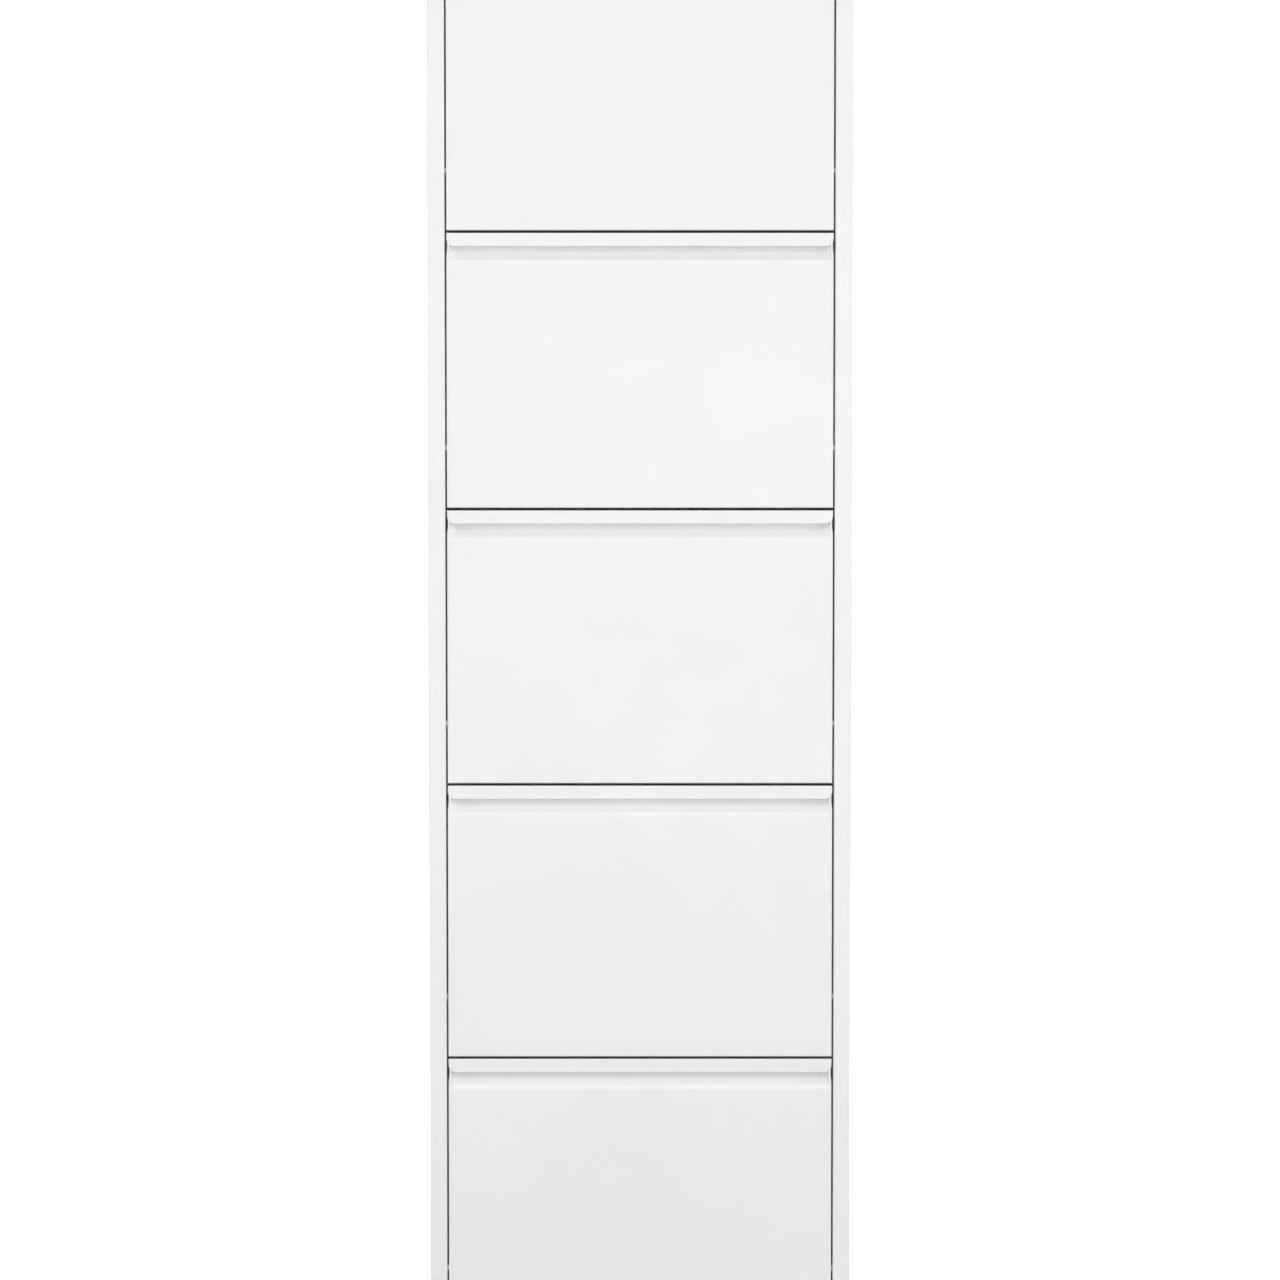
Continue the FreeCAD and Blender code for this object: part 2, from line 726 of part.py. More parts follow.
def flap_front():
    """Folded front: face, flanges and a full-width grip with closed ends, all in one sheet."""
    margin = "dims.cut_margin"

    def tray(name, inset, base, height, rear, radius):
        """A box with its front edges rounded."""
        half = f"({FLAP_HALF} - {inset})"
        near = from_front(inset)
        body = prism(name, "XY_Plane", rectangle(f"-{half}", half, near, rear), base, height)
        rim = [{"y": near, "z": base}, {"y": near, "z": f"{base} + {height}"}]
        rim += [{"x": f"{sign} * {half}", "y": near} for sign in (-1, 1)]
        round_edges(body, name + "_rim", radius, rim)
        return body

    rear = from_front("dims.flap_depth")
    blank = tray("front_blank", "0", "0", FLAP_TOP, rear, BEND)
    # Above the grip the sheet turns forward to the lip, so the top is no deeper than the grip's back wall.
    wall_rear = from_front(f"dims.grip_depth + {FLAP_SHEET}")
    envelope = [
        (from_front(f"-{margin}"), f"-{margin}"),
        (f"{rear} + {margin}", f"-{margin}"),
        (f"{rear} + {margin}", below_top("dims.shoulder_drop")),
        (wall_rear, below_top("dims.shoulder_drop - dims.flap_depth + dims.grip_depth")),
        (wall_rear, FLAP_TOP),
        (from_front(f"-{margin}"), FLAP_TOP),
    ]
    side_view = prism("front_envelope", "YZ_Plane", envelope, f"-{HALF_WIDTH}", f"2 * {HALF_WIDTH}")
    round_edges(side_view, "front_crown", BEND, [{"y": wall_rear, "z": FLAP_TOP}])
    trimmed = combine("Common", "front_trimmed", blank, side_view)
    hollow = tray(
        "front_hollow",
        FLAP_SHEET,
        FLAP_SHEET,
        f"{FLAP_TOP} - 2 * {FLAP_SHEET}",
        f"{rear} + {margin}",
        f"{BEND} - {FLAP_SHEET}",
    )
    recessed = combine("Cut", "front_recessed", trimmed, grip_hollow("grip", False))
    cavity = combine("Cut", "front_cavity", hollow, grip_hollow("grip_shell", True))
    shell = combine("Cut", "front_shell", recessed, cavity)
    openings = []
    for side, sign in SIDES.items():
        openings += [lip_corner(side), flange_notch(side)]
        radius = "dims.pin_radius + dims.run_clearance"
        openings.append(drill(f"front_drill_{side}", "X", radius, f"{sign} * {FLAP_HALF}", PIVOT_Y, PIVOT_Z))
    return combine("Cut", "flap_front", shell, group("front_openings", openings))


def bin_rear(height, inward="0"):
    """The bin's rear face at a height, or the face of a layer that much further in."""
    run = "(dims.bin_top_depth - dims.bin_floor_depth)"
    lean = f"({run} / (dims.bin_height - {FLAP_SHEET}))"
    return from_front(
        f"dims.bin_floor_depth + {lean} * (({height}) - {FLAP_SHEET}) - ({inward}) * sqrt(1 + {lean} ^ 2)"
    )


def flap_bin():
    """Bin of one folded sheet: a floor on the front's bottom flange, a leaning rear wall and a rim."""
    sheet = FLAP_SHEET
    start = from_front(BEND)
    top = "dims.bin_height"
    rim = f"({bin_rear(top)} + dims.bin_rim)"
    section = [
        (start, sheet),
        (bin_rear(sheet), sheet),
        (bin_rear(top), top),
        (rim, top),
        (rim, f"{top} + {sheet}"),
        (bin_rear(f"{top} + {sheet}", sheet), f"{top} + {sheet}"),
        (bin_rear(f"2 * {sheet}", sheet), f"2 * {sheet}"),
        (start, f"2 * {sheet}"),
    ]
    half = f"({WING_INSIDE} - dims.fit_gap)"
    body = prism("bin", "YZ_Plane", section, f"-{half}", f"2 * {half}", "flap_bin")
    bends = {
        "bend": (1, "dims.bin_bend"),
        "fold": (6, f"dims.bin_bend - {sheet}"),
        "rim_bend": (5, BEND),
        "rim_fold": (2, f"{BEND} - {sheet}"),
    }
    for name, (corner, radius) in bends.items():
        y, z = section[corner]
        round_edges(body, f"bin_{name}", radius, [{"y": y, "z": z}])
    return body


def guide_slot(side):
    """The slot's cutter: a ring sector about the pivot with round ends, through the wing."""
    sign = SIDES[side]
    middle = f"{sign} * ({WING_OUTSIDE} + {WING_INSIDE}) / 2"
    half = "(dims.sleeve_radius + dims.slot_clearance)"
    first = "(dims.guide_angle - dims.flap_swing)"
    # The first turn lays the cylinder along X with its start at +Y, and the second turns it to the slot's.
    along = FreeCAD.Rotation(FreeCAD.Vector(1, 1, 1), 120)
    turn = FreeCAD.Rotation(FreeCAD.Vector(1, 0, 0), value(first)) * along
    discs = []
    for edge, sense in (("outer", "+"), ("inner", "-")):
        disc = DOC.addObject("Part::Cylinder", f"slot_{edge}_{side}")
        bind(disc, Radius=f"dims.guide_radius {sense} {half}", Angle="dims.flap_swing")
        bind(disc, Height="dims.drill_length")
        disc.Placement = FreeCAD.Placement(FreeCAD.Vector(), turn)
        put(disc, f"{middle} - dims.drill_length / 2", PIVOT_Y, PIVOT_Z)
        discs.append(disc)
    ends = [
        drill(
            f"slot_end_{side}_{n}",
            "X",
            half,
            middle,
            f"{PIVOT_Y} + dims.guide_radius * cos({angle} * 1 deg)",
            f"{PIVOT_Z} + dims.guide_radius * sin({angle} * 1 deg)",
        )
        for n, angle in enumerate((first, "dims.guide_angle"))
    ]
    return fuse(f"slot_{side}", [combine("Cut", f"slot_sector_{side}", *discs)] + ends)


def flap_wing(side):
    """Cheek plate inside the front's side flange, with a rear flange that carries the bin's rear wall."""
    sign = SIDES[side]
    name = f"wing_{side}"
    near = from_front(BEND)
    outer = f"-({CARCASS_SHEET} + dims.fit_gap)"
    high = "dims.wing_rear_height"
    front_high = "dims.wing_front_height"

    def start(width):
        """Where a pad of that width along X begins, flush with the wing's outer face."""
        return f"({WING_OUTSIDE} - {width})" if sign > 0 else f"-{WING_OUTSIDE}"

    plate = [
        (near, BEND),
        (bin_rear(BEND, outer), BEND),
        (bin_rear(high, outer), high),
        (from_front("dims.flap_depth"), front_high),
        (near, front_high),
    ]
    body = prism(name, "YZ_Plane", plate, start("dims.wing_sheet"), "dims.wing_sheet")
    radii = {"heel": "dims.wing_flange", "crown": "dims.wing_corner", "shoulder": "dims.wing_shoulder"}
    for (corner, radius), (y, z) in zip(radii.items(), plate[1:4]):
        round_edges(body, f"{name}_{corner}", radius, [{"y": y, "z": z}])
    inner = "-dims.fit_gap"
    low = "(2 * dims.wing_flange)"
    end = f"({high} - 1.5 * dims.wing_corner)"
    flange = [
        (bin_rear(low, inner), low),
        (bin_rear(low, outer), low),
        (bin_rear(end, outer), end),
        (bin_rear(end, inner), end),
    ]
    width = "(dims.wing_flange + dims.wing_sheet)"
    add_pad(body, name + "_flange", "YZ_Plane", flange, start(width), width)
    radius = "dims.pin_radius + dims.run_clearance"
    pin_hole = drill(name + "_drill", "X", radius, f"{sign} * {WING_INSIDE}", PIVOT_Y, PIVOT_Z)
    openings = group(name + "_openings", [guide_slot(side), pin_hole])
    return combine("Cut", f"flap_wing_{side}", body, openings)


def pivot_pins():
    """Two stepped pins, riveted through flange and wing, that turn in the bushes."""
    head = "dims.rivet_height"
    soft = "dims.pin_chamfer"
    outside = f"({head} + {FLAP_HALF} - {WING_INSIDE})"
    shoulder_end = f"({outside} + dims.side_gap - {CARCASS_SHEET} - dims.fit_gap)"
    tip = f"({outside} + dims.pin_reach)"
    profile = [
        ("0", "0"),
        ("0", f"dims.rivet_radius - {soft}"),
        (soft, "dims.rivet_radius"),
        (head, "dims.rivet_radius"),
        (head, "dims.pin_radius"),
        (outside, "dims.pin_radius"),
        (outside, "dims.pin_shoulder"),
        (shoulder_end, "dims.pin_shoulder"),
        (shoulder_end, "dims.pin_radius"),
        (f"{tip} - {soft}", "dims.pin_radius"),
        (tip, f"dims.pin_radius - {soft}"),
        (tip, "0"),
    ]
    master = turned("pin", profile)
    start = f"({WING_INSIDE} - {head})"
    pins = []
    for side, sign in SIDES.items():
        turn = FreeCAD.Rotation(FreeCAD.Vector(0, 0, 1), 0 if sign > 0 else 180)
        pins.append(copy_of(master, f"pin_{side}", f"{sign} * {start}", PIVOT_Y, PIVOT_Z, turn))
    return group("pivot_pins", pins)


def flaps():
    """Every flap's pieces, numbered from the top flap down."""
    masters = {
        "front": flap_front(),
        "bin": flap_bin(),
        "wing_left": flap_wing("left"),
        "wing_right": flap_wing("right"),
        "pivot_pins": pivot_pins(),
    }
    return [
        copy_of(master, f"placed_{piece}_{row}", z=flap_base(row), label=f"flap_{FLAP_COUNT - row}_{piece}")
        for row in range(FLAP_COUNT)
        for piece, master in masters.items()
    ]


# --- build, check and write --------------------------------------------------------------------------------


def build():
    pieces = [side_panel(side) for side in SIDES]
    pieces += [top_panel(), bottom_panel(), back_panel(), hanging_rail(), feet(), back_screws()]
    for side in SIDES:
        pieces += [pivot_bushes(side), guide_studs(side), guide_sleeves(side)]
    return pieces + flaps()


def check(pieces):
    DOC.recompute()
    failed = [thing.Name for thing in DOC.Objects if {"Invalid", "Error"} & set(thing.State)]
    if failed:
        raise RuntimeError(f"objects that did not recompute: {failed}")
    for piece in pieces:
        if piece.Shape.isNull() or not piece.Shape.isValid() or not piece.Shape.Solids:
            raise RuntimeError(f"{piece.Label} has no valid solid")


def write(pieces):
    os.makedirs("parts", exist_ok=True)
    for piece in pieces:
        piece.Shape.exportStep(f"parts/{piece.Label}.step")
        print(f"{piece.Label}: {len(piece.Shape.Solids)} solids, {piece.Shape.Volume / 1000:.2f} cm3")


PIECES = build()
check(PIECES)
write(PIECES)
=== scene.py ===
"""Looks of the five-flap steel shoe cabinet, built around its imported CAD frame. Units are metres."""

import json
import math

import bmesh
import bpy
from mathutils import Matrix, Vector


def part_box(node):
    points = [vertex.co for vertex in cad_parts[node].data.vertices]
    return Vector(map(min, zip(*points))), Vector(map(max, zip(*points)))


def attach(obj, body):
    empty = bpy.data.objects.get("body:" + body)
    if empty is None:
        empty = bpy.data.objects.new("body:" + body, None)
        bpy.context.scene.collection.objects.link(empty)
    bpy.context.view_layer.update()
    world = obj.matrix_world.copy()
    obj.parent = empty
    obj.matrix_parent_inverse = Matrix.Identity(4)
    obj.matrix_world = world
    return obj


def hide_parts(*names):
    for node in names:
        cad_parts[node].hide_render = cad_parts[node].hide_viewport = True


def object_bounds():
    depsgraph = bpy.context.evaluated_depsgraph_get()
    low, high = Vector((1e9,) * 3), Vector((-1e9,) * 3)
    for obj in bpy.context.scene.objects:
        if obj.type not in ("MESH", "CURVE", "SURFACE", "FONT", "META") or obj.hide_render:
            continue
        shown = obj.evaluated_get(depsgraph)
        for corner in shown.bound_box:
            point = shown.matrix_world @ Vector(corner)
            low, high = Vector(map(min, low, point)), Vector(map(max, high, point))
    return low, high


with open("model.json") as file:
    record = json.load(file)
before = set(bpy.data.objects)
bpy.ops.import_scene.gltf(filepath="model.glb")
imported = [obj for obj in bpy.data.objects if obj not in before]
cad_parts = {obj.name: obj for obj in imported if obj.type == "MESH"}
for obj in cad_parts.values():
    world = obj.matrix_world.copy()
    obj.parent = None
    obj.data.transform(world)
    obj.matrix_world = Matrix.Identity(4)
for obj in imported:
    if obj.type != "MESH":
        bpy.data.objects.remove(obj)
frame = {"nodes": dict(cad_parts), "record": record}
CAD_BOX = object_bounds()

MM = 0.001
TINY, WELD_REACH = 1e-9, 1e-6
CUT_EDGE = 0.18 * MM
LOW, HIGH = CAD_BOX
FRONT = LOW.y
RECORD = frame["record"]
FLAPS = [joint["child"] for joint in RECORD["behaviour"]["joints"]]
PIVOTS = {joint["child"]: Vector(joint["pos_m"]) for joint in RECORD["behaviour"]["joints"]}


# --- materials ---------------------------------------------------------------------------------------------


class Shading:
    """A material's node tree, with short ways to add the nodes that every finish here uses."""

    def __init__(self, name, **constants):
        self.material = bpy.data.materials.new(name)
        self.material.use_nodes = True
        self.tree = self.material.node_tree
        self.shader = self.tree.nodes["Principled BSDF"]
        self.place = self.tree.nodes.new("ShaderNodeTexCoord").outputs["Object"]
        for socket, value in constants.items():
            self.shader.inputs[socket.replace("_", " ")].default_value = value

    def node(self, kind, **settings):
        made = self.tree.nodes.new("ShaderNode" + kind)
        for name, value in settings.items():
            setattr(made, name, value)
        return made

    def link(self, out, into):
        self.tree.links.new(out, into)

    def noise(self, scale, detail=2.0, stretch=None):
        """Noise with about that many features a metre."""
        made = self.node("TexNoise")
        made.inputs["Scale"].default_value = scale
        made.inputs["Detail"].default_value = detail
        place = self.place
        if stretch:
            mapping = self.node("Mapping")
            mapping.inputs["Scale"].default_value = stretch
            self.link(place, mapping.inputs["Vector"])
            place = mapping.outputs["Vector"]
        self.link(place, made.inputs["Vector"])
        return made.outputs["Fac"]

    def ramp(self, factor, stops):
        """Stops are (position, value or colour)."""
        made = self.node("ValToRGB")
        elements = made.color_ramp.elements
        while len(elements) < len(stops):
            elements.new(0.5)
        for element, (position, value) in zip(elements, stops):
            element.position = position
            element.color = (*value, 1) if isinstance(value, tuple) else (value, value, value, 1)
        self.link(factor, made.inputs["Fac"])
        return made.outputs["Color"]

    def mix(self, factor, first, second, blend="MIX"):
        """Mixes two colours, each an output or a plain colour. The factor is an output or a number."""
        made = self.node("Mix", data_type="RGBA", blend_type=blend)
        for socket, given in ((made.inputs[0], factor), (made.inputs[6], first), (made.inputs[7], second)):
            if isinstance(given, bpy.types.NodeSocket):
                self.link(given, socket)
            elif isinstance(given, tuple):
                socket.default_value = (*given, 1)
            else:
                socket.default_value = given
        return made.outputs[2]

    def edges(self, radius):
        """Nearly 1 along outside and inside edges, and 0 on open faces."""
        rounded = self.node("Bevel", samples=4)
        rounded.inputs["Radius"].default_value = radius
        geometry = self.node("NewGeometry")
        turn = self.node("VectorMath", operation="DOT_PRODUCT")
        self.link(rounded.outputs["Normal"], turn.inputs[0])
        self.link(geometry.outputs["Normal"], turn.inputs[1])
        return self.ramp(turn.outputs["Value"], [(0.80, 1.0), (0.995, 0.0)])

    def bump(self, height, strength, distance, under=None):
        made = self.node("Bump")
        made.inputs["Strength"].default_value = strength
        made.inputs["Distance"].default_value = distance
        self.link(height, made.inputs["Height"])
        if under is not None:
            self.link(under, made.inputs["Normal"])
        return made.outputs["Normal"]

    def finish(self, colour, roughness, normal):
        self.link(colour, self.shader.inputs["Base Color"])
        self.link(roughness, self.shader.inputs["Roughness"])
        self.link(normal, self.shader.inputs["Normal"])
        return self.material


def powder_coat():
    """Half-matt white coat with fine orange peel, faint clouds in its colour and greyer patches on its
    edges: rubbed coat on outside edges, painted shade in inside edges and creases.
    """
    coat = Shading("white_powder_coat", Specular_IOR_Level=0.5)
    clouds = coat.ramp(coat.noise(5, 3), [(0.3, (0.848, 0.851, 0.844)), (0.7, (0.871, 0.870, 0.863))])
    specks = coat.ramp(coat.noise(1400, 1), [(0.30, (0.955, 0.955, 0.955)), (0.42, (1.0, 1.0, 1.0))])
    painted = coat.mix(1.0, clouds, specks, "MULTIPLY")
    edges = coat.edges(0.0009)
    patches = coat.ramp(coat.noise(60, 4), [(0.42, 0.0), (0.70, 0.5)])
    # Greyer patches along outside edges are rubbed coat; along inside edges and creases the same grey is
    # painted shade.
    wear_and_crease_shade = coat.mix(1.0, edges, patches, "MULTIPLY")
    colour = coat.mix(wear_and_crease_shade, painted, (0.70, 0.70, 0.69))
    roughness = coat.ramp(coat.noise(25, 4), [(0.3, 0.40), (0.7, 0.50)])
    peel = coat.bump(coat.noise(620, 2), 0.30, 0.00004)
    normal = coat.bump(coat.noise(3.5, 1), 0.25, 0.002, peel)
    return coat.finish(colour, roughness, normal)


def zinc_plate():
    """Bright zinc: a metal with small crystals and darker edges, worn on outside edges and painted shade on
    inside edges.
    """
    zinc = Shading("zinc_plated_steel", Metallic=1.0)
    crystals = zinc.ramp(zinc.noise(900, 3), [(0.3, (0.52, 0.53, 0.56)), (0.7, (0.70, 0.71, 0.73))])
    # Darker along edges: worn zinc on outside edges, painted shade on inside edges.
    colour = zinc.mix(zinc.edges(0.0003), crystals, (0.40, 0.40, 0.41))
    roughness = zinc.ramp(zinc.noise(1500, 3), [(0.25, 0.22), (0.75, 0.42)])
    return zinc.finish(colour, roughness, zinc.bump(zinc.noise(2600, 2), 0.25, 0.00003))


def nylon():
    """Natural nylon: waxy, faintly yellow and a little see-through, with painted shade darkening its outside
    and inside edges.
    """
    resin = Shading("white_nylon", Subsurface_Weight=0.15, Subsurface_Scale=0.002)
    milky = resin.ramp(resin.noise(120, 2), [(0.3, (0.74, 0.735, 0.69)), (0.7, (0.80, 0.795, 0.75))])
    # Darker along outside and inside edges: painted shade.
    colour = resin.mix(resin.edges(0.0003), milky, (0.66, 0.65, 0.60))
    roughness = resin.ramp(resin.noise(700, 2), [(0.3, 0.34), (0.7, 0.48)])
    return resin.finish(colour, roughness, resin.bump(resin.noise(1800, 2), 0.2, 0.00003))


def grey_plastic():
    """Moulded polyethylene: matt grain, scuffed on the edge that meets the floor."""
    resin = Shading("grey_plastic")
    grain = resin.ramp(resin.noise(300, 3), [(0.3, (0.095, 0.096, 0.100)), (0.7, (0.130, 0.130, 0.134))])
    colour = resin.mix(resin.edges(0.0006), grain, (0.23, 0.23, 0.235))
    roughness = resin.ramp(resin.noise(900, 2), [(0.3, 0.50), (0.7, 0.68)])
    return resin.finish(colour, roughness, resin.bump(resin.noise(1500, 3), 0.35, 0.00006))


MATERIALS = {
    "white_powder_coat": powder_coat(),
    "zinc_plated_steel": zinc_plate(),
    "white_nylon": nylon(),
    "grey_plastic": grey_plastic(),
}
SLOT_OF = {part["node"]: part["material_slot"] for part in RECORD["subparts"]}


# --- mesh tools --------------------------------------------------------------------------------------------


def solids_of(node, axes=(2, 0, 1), gap=10 * MM):
    """The boxes of a node's solids, found where its points leave a gap along one of the axes."""
    groups = [[vertex.co.copy() for vertex in frame["nodes"][node].data.vertices]]
    for axis in axes:
        parted = []
        for points in groups:
            points.sort(key=lambda point: point[axis])
            parted.append([points[0]])
            for before, point in zip(points, points[1:]):
                if point[axis] - before[axis] > gap:
                    parted.append([])
                parted[-1].append(point)
        groups = parted
    return [
        tuple(Vector(pick(point[axis] for point in points) for axis in range(3)) for pick in (min, max))
        for points in groups
    ]


def quarter(corner, before, after, radius, steps=4):
    """A quarter round in a right-angled corner, reached heading before and left heading after."""
    corner, before, after = Vector(corner), Vector(before), Vector(after)
    centre = corner + (after - before) * radius
    angles = [math.pi / 2 * step / steps for step in range(steps + 1)]
    return [centre + (before * math.sin(angle) - after * math.cos(angle)) * radius for angle in angles]


def rounded(corners, steps=8):
    """A path through (across, up, radius) corners, each turned in an arc of its radius."""
    path = []
    for number, (across, up, radius) in enumerate(corners):
        here = Vector((across, up))
        if radius == 0:
            path.append(here)
            continue
        back = (Vector(corners[number - 1][:2]) - here).normalized()
        on = (Vector(corners[number + 1][:2]) - here).normalized()
        half = back.angle(on) / 2
        centre = here + (back + on).normalized() * radius / math.sin(half)
        start, end = (here + way * radius / math.tan(half) - centre for way in (back, on))
        turn = math.pi - 2 * half
        for step in range(steps + 1):
            angle = turn * step / steps
            path.append(centre + (start * math.sin(turn - angle) + end * math.sin(angle)) / math.sin(turn))
    return path


def beside(path, distance):
    """The path again, that far to its right."""
    shifted = []
    for number, point in enumerate(path):
        before = path[max(number - 1, 0)]
        after = path[min(number + 1, len(path) - 1)]
        ways = [way.normalized() for way in (point - before, after - point) if way.length > TINY]
        normals = [Vector((way.y, -way.x)) for way in ways]
        middle = sum(normals, Vector((0, 0))).normalized()
        shifted.append(point + middle * distance / max(middle.dot(normals[0]), 0.5))
    return shifted


def grid_faces(mesh, rows):
    """Quads between rows of vertices that are all equally long."""
    for lower, upper in zip(rows, rows[1:]):
        for corners in zip(lower, lower[1:], upper[1:], upper):
            if len(set(corners)) == 4:
                mesh.faces.new(corners)


def zipped(mesh, first, second):
    """Triangles that fill the strip between two chains of vertices whose ends meet level."""
    one, two = 0, 0
    while one < len(first) - 1 or two < len(second) - 1:
        step_one = one < len(first) - 1
        if step_one and two < len(second) - 1:
            across_one = (first[one + 1].co - second[two].co).length
            across_two = (first[one].co - second[two + 1].co).length
            step_one = across_one < across_two
        after = first[one + 1] if step_one else second[two + 1]
        mesh.faces.new((first[one], after, second[two]))
        one, two = (one + 1, two) if step_one else (one, two + 1)


def to_object(mesh, name, slot):
    """Closes up a bmesh and makes it an object with its slot's material and smooth shading."""
    bmesh.ops.remove_doubles(mesh, verts=mesh.verts, dist=WELD_REACH)
    bmesh.ops.dissolve_degenerate(mesh, edges=mesh.edges, dist=WELD_REACH)
    bmesh.ops.recalc_face_normals(mesh, faces=mesh.faces)
    data = bpy.data.meshes.new(name)
    mesh.to_mesh(data)
    mesh.free()
    data.materials.append(MATERIALS[slot])
    data.shade_smooth()
    made = bpy.data.objects.new(name, data)
    bpy.context.scene.collection.objects.link(made)
    return made


def carved(made, cutters):
    """The object with the cutters' shapes taken out of it. The cutters are removed."""
    for cutter in cutters:
        modifier = made.modifiers.new("cut", "BOOLEAN")
        modifier.operation = "DIFFERENCE"
        modifier.solver = "EXACT"
        modifier.object = cutter
    bpy.context.view_layer.update()
    seen = made.evaluated_get(bpy.context.evaluated_depsgraph_get())
    data = bpy.data.meshes.new_from_object(seen)
    made.modifiers.clear()
    made.data = data
    for cutter in cutters:
        bpy.data.objects.remove(cutter)
    return made


def extruded(name, outline, start, end, along):
    """A closed prism between two places along an axis, over an outline of the other two axes in order."""
    mesh = bmesh.new()
    rings = []
    for place in (start, end):
        corners = [list(corner) for corner in outline]
        for corner in corners:
            corner.insert(along, place)
        rings.append([mesh.verts.new(corner) for corner in corners])
    mesh.faces.new(rings[0])
    mesh.faces.new(reversed(rings[1]))
    grid_faces(mesh, [ring + ring[:1] for ring in rings])
    return to_object(mesh, name, "white_powder_coat")


def evened(made, angle=50):
    """Sharp edges where faces meet at more than the angle, and normals that keep broad faces flat."""
    made.data.set_sharp_from_angle(angle=math.radians(angle))
    normals = made.modifiers.new("flat_faces", "WEIGHTED_NORMAL")
    normals.keep_sharp = True
    return made


def soften(made, width, angle=40):
    """Small rounds on cut edges, and normals that keep broad faces flat."""
    weld = made.modifiers.new("joined", "WELD")
    weld.merge_threshold = WELD_REACH
    bevel = made.modifiers.new("soft_edges", "BEVEL")
    bevel.width = width
    bevel.segments = 2
    bevel.limit_method = "ANGLE"
    bevel.angle_limit = math.radians(angle)
    normals = made.modifiers.new("flat_faces", "WEIGHTED_NORMAL")
    normals.keep_sharp = True
    return made


def lathed(name, profile, slot, steps=40):
    """An (along, radius) profile in millimetres, turned about the X axis."""
    mesh = bmesh.new()
    rows = []
    for along, radius in profile:
        ring = []
        for step in range(steps):
            angle = 2 * math.pi * step / steps
            place = Vector((along, radius * math.cos(angle), radius * math.sin(angle)))
            ring.append(mesh.verts.new(place * MM))
        rows.append(ring + ring[:1])
    grid_faces(mesh, rows)
    return to_object(mesh, name, slot)


def spread(name, slot, master, matrices):
    """One object with a copy of the master at each matrix. The master is removed."""
    mesh = bmesh.new()
    for matrix in matrices:
        copy = master.data.copy()
        copy.transform(matrix)
        mesh.from_mesh(copy)
        bpy.data.meshes.remove(copy)
    bpy.data.objects.remove(master)
    return evened(to_object(mesh, name, slot))


REPLACED = set()


def body_of(node):
    """The name of the body that a CAD node is on."""
    return next(body for body, nodes in RECORD["behaviour"]["bodies"].items() if node in nodes)


def stand_for(made, *nodes):
    """Puts a new piece in the place of CAD nodes, on their body."""
    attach(made, body_of(nodes[0]))
    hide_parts(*nodes)
    REPLACED.update(nodes)


# --- flap fronts -------------------------------------------------------------------------------------------
# In millimetres: across, depth behind the front plane, height above the flap's base. A drop is from its top.

SHEET = 0.8
BEND = 1.6
GRIP_DEPTH = 9.0
GRIP_MARGIN = 3.5
LIP = 16.0
LIP_THICKNESS = 1.6
LIP_CORNER = 4.0
LIP_FOLD = 0.8
HEM = 0.75
ROLL, ROLL_DROP = 9.0, 33.0
COVE, COVE_DROP = 6.0, 24.0
PRESS_DROP = 45.0
FLANGE_DEPTH = 20.0
SHOULDER = 14.0
NOTCH_REACH = 12.0
# The relief beside the grip, as (how far in from the side, drop).
NOTCH = ((0.0, 9.0), (1.5, 10.5), (1.5, 18.5), (0.0, 26.5))

# How bends run into one another where the grip ends.
BLEND_POWER = 4
KNEE, KNEE_DEPTH, KNEE_SLOPE, KNEE_CURVE = 0.8, 0.98, 0.204, 4
CEILING_START = 0.2
CROWN_START = 6.5
EASE = 3.0

# Where the grid's rows and columns are, and how many steps its bends have.
FIRST_ROWS = (0.4, 6.0)
FACE_ROWS, FACE_ROWS_DROP = 8, 47.0
MOUTH_ROWS, LIP_BACK_ROWS, LIP_ROWS = (0.2, 0.6, 0.9), (0.7, 0.3), (0.1, 0.35, 0.65, 0.95)
WALL_ROWS, WALL_END = (0.1, 0.4, 0.7, 0.9), 1.0
PRESS_STEPS, OUTER_STEPS, INNER_STEPS = 12, 6, 5
FACE_COLUMNS = (0, 40, 80, 120, 160)
GRIP_COLUMNS = (26, 20, 16, 13, 11, 9.2, 7.6, 6.2, 5, 4, 3.4, 2.8, 2.3, 1.8, 1.4, 1.0)
GRIP_COLUMNS += (0.7, 0.45, 0.25, 0.1, 0.03, 0)
BEYOND_GRIP, BEFORE_BEND = 0.4, 0.3
SIDE_ANGLES = range(0, 91, 15)
FLANGE_STEPS = (0.0, 0.05, 0.3, 0.55, 0.8, 1.0)


def soft_min(first, second):
    """The smaller of two depths, with a rounded change from one to the other."""
    if min(first, second) <= 0:
        return 0.0
    return (first**-BLEND_POWER + second**-BLEND_POWER) ** (-1 / BLEND_POWER)


def stacked(first, second):
    """The depth of a corner where two bends meet."""
    return (max(first, 0) ** BLEND_POWER + max(second, 0) ** BLEND_POWER) ** (1 / BLEND_POWER)


def eased(value):
    """A smooth step: 0 up to 0, 1 from 1 on, and level at both ends."""
    value = min(max(value, 0.0), 1.0)
    return value * value * (3 - 2 * value)


def end_depth(inset, radius):
    """How deep the grip may go at a distance in from its end: a quarter round, then freely deeper."""
    if inset <= 0:
        return 0.0
    knee = KNEE * radius
    if inset <= knee:
        return math.sqrt(radius**2 - (radius - inset) ** 2)
    beyond = (inset - knee) / radius
    return radius * (KNEE_DEPTH + KNEE_SLOPE * beyond + KNEE_CURVE * beyond**2)


